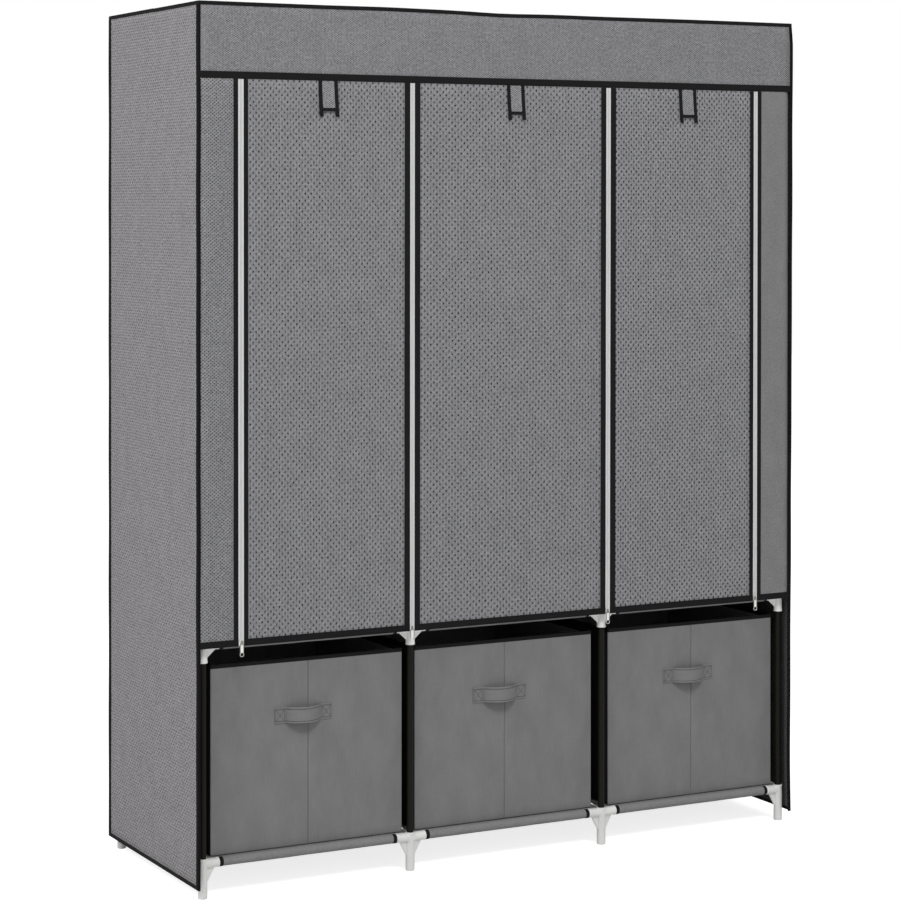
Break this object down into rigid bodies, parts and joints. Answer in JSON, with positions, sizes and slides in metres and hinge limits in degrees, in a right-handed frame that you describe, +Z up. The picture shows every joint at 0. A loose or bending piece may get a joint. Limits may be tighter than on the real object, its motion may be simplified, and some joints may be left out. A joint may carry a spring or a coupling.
{
  "type": "portable fabric wardrobe",
  "caption": "Free-standing cloth wardrobe on steel tubes and moulded connectors, with zipped roll-up doors, tie straps, cloth shelves and pull-out storage boxes.",
  "frame": {"origin": "centre of the footprint, on the floor", "axes": "+Z up, +X to the right seen from the doors, the doors face -Y"},
  "size_m": [1.4, 0.504, 1.75],
  "materials": {
    "grey_cloth": "grey non-woven cloth with black bindings",
    "side_cloth": "grey non-woven cloth with black bindings",
    "shelf_cloth": "grey non-woven cloth over steel rails",
    "box_cloth": "grey cloth outside, black inside",
    "black_cloth": "black and grey woven tape",
    "white_moulding": "white injection moulding",
    "black_steel": "black coated steel tube",
    "zip_metal": "bright plated zip metal"
  },
  "bodies": {
    "frame": {"cover_back": "grey_cloth", "cover_top": "grey_cloth", "cover_front_surround": "grey_cloth", "cover_side_left": "side_cloth", "cover_side_right": "side_cloth", "shelf_bottom_1": "shelf_cloth", "shelf_middle_1": "shelf_cloth", "shelf_bottom_2": "shelf_cloth", "shelf_middle_2": "shelf_cloth", "shelf_bottom_3": "shelf_cloth", "shelf_middle_3": "shelf_cloth", "foot_front_1": "white_moulding", "foot_rear_1": "white_moulding", "joint_front_1": "white_moulding", "joint_rear_1": "white_moulding", "upright_front_1": "black_steel", "upright_rear_1": "black_steel", "foot_front_2": "white_moulding", "foot_rear_2": "white_moulding", "joint_front_2": "white_moulding", "joint_rear_2": "white_moulding", "upright_front_2": "black_steel", "upright_rear_2": "black_steel", "foot_front_3": "white_moulding", "foot_rear_3": "white_moulding", "joint_front_3": "white_moulding", "joint_rear_3": "white_moulding", "upright_front_3": "black_steel", "upright_rear_3": "black_steel", "foot_front_4": "white_moulding", "foot_rear_4": "white_moulding", "joint_front_4": "white_moulding", "joint_rear_4": "white_moulding", "upright_front_4": "black_steel", "upright_rear_4": "black_steel", "top_frame_1": "white_moulding", "top_frame_2": "white_moulding", "top_frame_3": "white_moulding", "top_frame_4": "white_moulding"},
    "door_body_1": {"door_1": "grey_cloth"},
    "strap_body_1": {"tie_strap_1": "black_cloth"},
    "box_body_1": {"storage_box_1": "box_cloth", "box_handle_1": "box_cloth"},
    "door_body_2": {"door_2": "grey_cloth"},
    "strap_body_2": {"tie_strap_2": "black_cloth"},
    "box_body_2": {"storage_box_2": "box_cloth", "box_handle_2": "box_cloth"},
    "door_body_3": {"door_3": "grey_cloth"},
    "strap_body_3": {"tie_strap_3": "black_cloth"},
    "box_body_3": {"storage_box_3": "box_cloth", "box_handle_3": "box_cloth"},
    "slider_body_1": {"zip_slider_1": "zip_metal"},
    "tab_body_1": {"pull_tab_1": "zip_metal"},
    "slider_body_2": {"zip_slider_2": "zip_metal"},
    "tab_body_2": {"pull_tab_2": "zip_metal"},
    "slider_body_3": {"zip_slider_3": "zip_metal"},
    "tab_body_3": {"pull_tab_3": "zip_metal"},
    "slider_body_4": {"zip_slider_4": "zip_metal"},
    "tab_body_4": {"pull_tab_4": "zip_metal"}
  },
  "joints": [
    {"name": "door_1_lift", "type": "hinge", "parent": "frame", "child": "door_body_1", "pos_m": [-0.42325, -0.248, 1.6], "axis": [-1, 0, 0], "range_deg": [0, 110]},
    {"name": "strap_1_lift", "type": "hinge", "parent": "door_body_1", "child": "strap_body_1", "pos_m": [-0.42325, -0.2476, 1.598], "axis": [-1, 0, 0], "range_deg": [0, 60]},
    {"name": "box_1_pull", "type": "slide", "parent": "frame", "child": "box_body_1", "axis": [0, -1, 0], "range_m": [0, 0.46]},
    {"name": "door_2_lift", "type": "hinge", "parent": "frame", "child": "door_body_2", "pos_m": [-0.0038, -0.248, 1.6], "axis": [-1, 0, 0], "range_deg": [0, 110]},
    {"name": "strap_2_lift", "type": "hinge", "parent": "door_body_2", "child": "strap_body_2", "pos_m": [-0.0038, -0.2476, 1.598], "axis": [-1, 0, 0], "range_deg": [0, 60]},
    {"name": "box_2_pull", "type": "slide", "parent": "frame", "child": "box_body_2", "axis": [0, -1, 0], "range_m": [0, 0.46]},
    {"name": "door_3_lift", "type": "hinge", "parent": "frame", "child": "door_body_3", "pos_m": [0.41565, -0.248, 1.6], "axis": [-1, 0, 0], "range_deg": [0, 110]},
    {"name": "strap_3_lift", "type": "hinge", "parent": "door_body_3", "child": "strap_body_3", "pos_m": [0.41565, -0.2476, 1.598], "axis": [-1, 0, 0], "range_deg": [0, 60]},
    {"name": "box_3_pull", "type": "slide", "parent": "frame", "child": "box_body_3", "axis": [0, -1, 0], "range_m": [0, 0.46]},
    {"name": "slider_1_travel", "type": "slide", "parent": "door_body_1", "child": "slider_body_1", "axis": [0, 0, 1], "range_m": [0, 1.085]},
    {"name": "tab_1_swing", "type": "hinge", "parent": "slider_body_1", "child": "tab_body_1", "pos_m": [-0.6111, -0.25, 0.4929], "axis": [-1, 0, 0], "range_deg": [0, 130]},
    {"name": "slider_2_travel", "type": "slide", "parent": "door_body_2", "child": "slider_body_2", "axis": [0, 0, 1], "range_m": [0, 1.085]},
    {"name": "tab_2_swing", "type": "hinge", "parent": "slider_body_2", "child": "tab_body_2", "pos_m": [-0.2354, -0.25, 0.4929], "axis": [-1, 0, 0], "range_deg": [0, 130]},
    {"name": "slider_3_travel", "type": "slide", "parent": "door_body_2", "child": "slider_body_3", "axis": [0, 0, 1], "range_m": [0, 1.085]},
    {"name": "tab_3_swing", "type": "hinge", "parent": "slider_body_3", "child": "tab_body_3", "pos_m": [0.2278, -0.25, 0.4929], "axis": [-1, 0, 0], "range_deg": [0, 130]},
    {"name": "slider_4_travel", "type": "slide", "parent": "door_body_3", "child": "slider_body_4", "axis": [0, 0, 1], "range_m": [0, 1.085]},
    {"name": "tab_4_swing", "type": "hinge", "parent": "slider_body_4", "child": "tab_body_4", "pos_m": [0.6035, -0.25, 0.4929], "axis": [-1, 0, 0], "range_deg": [0, 130]}
  ]
}
